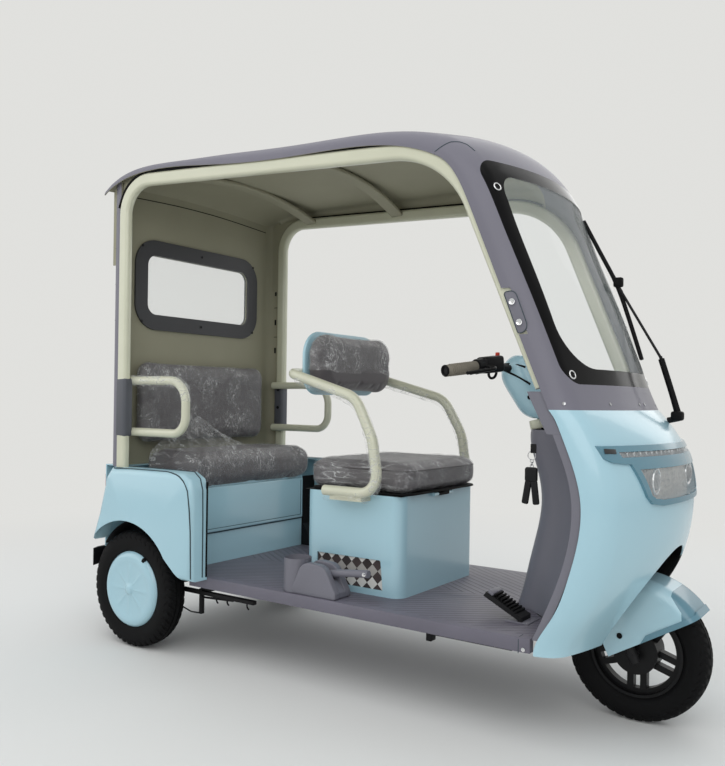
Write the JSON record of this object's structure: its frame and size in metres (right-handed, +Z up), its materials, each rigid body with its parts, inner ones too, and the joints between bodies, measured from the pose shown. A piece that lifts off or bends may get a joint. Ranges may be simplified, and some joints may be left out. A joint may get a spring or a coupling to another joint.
{
  "type": "solar auto rickshaw",
  "caption": "Open three-wheeled electric rickshaw with a roof, a windshield, a driver's seat, a rear bench, a steered front wheel and a solar panel on the roof.",
  "frame": {"origin": "on the ground under the middle of the vehicle's length and width", "axes": "+X forward, +Y to the driver's left, +Z up"},
  "size_m": [2.087, 0.93, 1.7218],
  "materials": {
    "body_blue": "gloss, light blue",
    "roof_grey": "satin, warm grey",
    "shield_grey": "fine grain, grey",
    "floor_grey": "moulded, dark grey",
    "frame_cream": "gloss, cream",
    "liner_cream": "matt, pale cream",
    "window_black": "satin, near black",
    "clear_glass": "clear",
    "lens_clear": "clear",
    "lamp_teal": "gloss, teal",
    "solar_cells": "gloss, deep blue black",
    "seat_vinyl": "grained vinyl, grey",
    "seat_board": "raw",
    "hatch_check": "woven checks",
    "battery_case": "powder coated",
    "chassis_black": "powder coated, black",
    "black_plastic": "satin, black",
    "spring_steel": "dark, oiled",
    "tail_red": "red lens",
    "tyre": "tread rubber",
    "wheel_steel": "painted, black",
    "alloy_black": "satin, black",
    "grip_rubber": "ribbed",
    "lever_metal": "satin, black"
  },
  "bodies": {
    "vehicle_body": {"roof_shell": "roof_grey", "windshield_surround": "roof_grey", "windshield_glass": "clear_glass", "front_cowl": "body_blue", "headlamp_housing": "lamp_teal", "headlamp_lens": "lens_clear", "leg_shield": "shield_grey", "dash_panel": "shield_grey", "side_frame_left": "frame_cream", "side_frame_right": "frame_cream", "roof_bows": "liner_cream", "solar_panel": "solar_cells", "rear_wall": "liner_cream", "rear_window_frame": "window_black", "rear_window_glass": "clear_glass", "rear_fender_left": "body_blue", "rear_fender_right": "body_blue", "wheel_wells": "black_plastic", "rear_tub": "body_blue", "bench_box": "body_blue", "bench_cushion": "seat_vinyl", "rear_backrest": "seat_vinyl", "armrests": "frame_cream", "driver_box": "body_blue", "hatch_cloth": "hatch_check", "battery_pack": "battery_case", "arm_frame": "frame_cream", "driver_backrest_shell": "body_blue", "driver_backrest": "seat_vinyl", "handbrake_console": "shield_grey", "handbrake_lever": "shield_grey", "brake_pedal": "chassis_black", "floor_board": "floor_grey", "chassis_frame": "chassis_black", "rear_axle": "chassis_black", "drive_motor": "chassis_black", "leaf_springs": "spring_steel", "rear_bumper": "black_plastic", "tail_lamps": "tail_red", "plate_holder": "black_plastic", "wiper": "black_plastic"},
    "steering_assembly": {"fork": "chassis_black", "handlebar": "chassis_black", "grips": "grip_rubber", "switch_gear": "black_plastic", "brake_levers": "lever_metal", "head_cover": "body_blue", "front_fender": "body_blue", "fender_trim": "lamp_teal"},
    "front_wheel_assembly": {"front_tyre": "tyre", "front_wheel": "alloy_black"},
    "left_wheel_assembly": {"rear_tyre_left": "tyre", "rear_wheel_left": "wheel_steel", "wheel_cover_left": "body_blue"},
    "right_wheel_assembly": {"rear_tyre_right": "tyre", "rear_wheel_right": "wheel_steel", "wheel_cover_right": "body_blue"},
    "driver_seat_lid": {"driver_seat_board": "seat_board", "driver_cushion": "seat_vinyl"}
  },
  "joints": [
    {"name": "steering", "type": "hinge", "parent": "vehicle_body", "child": "steering_assembly", "pos_m": [0.8485, 0, 0.195], "axis": [-0.4194, 0, 0.9078], "range_deg": [-38, 38]},
    {"name": "front_wheel_spin", "type": "hinge", "parent": "steering_assembly", "child": "front_wheel_assembly", "pos_m": [0.8485, 0, 0.195], "axis": [0, 1, 0], "continuous": true},
    {"name": "left_wheel_spin", "type": "hinge", "parent": "vehicle_body", "child": "left_wheel_assembly", "pos_m": [-0.7985, 0.393, 0.205], "axis": [0, 1, 0], "continuous": true},
    {"name": "right_wheel_spin", "type": "hinge", "parent": "vehicle_body", "child": "right_wheel_assembly", "pos_m": [-0.7985, -0.393, 0.205], "axis": [0, 1, 0], "continuous": true},
    {"name": "seat_lid", "type": "hinge", "parent": "vehicle_body", "child": "driver_seat_lid", "pos_m": [0.2125, 0, 0.586], "axis": [0, 1, 0], "range_deg": [0, 60]}
  ]
}
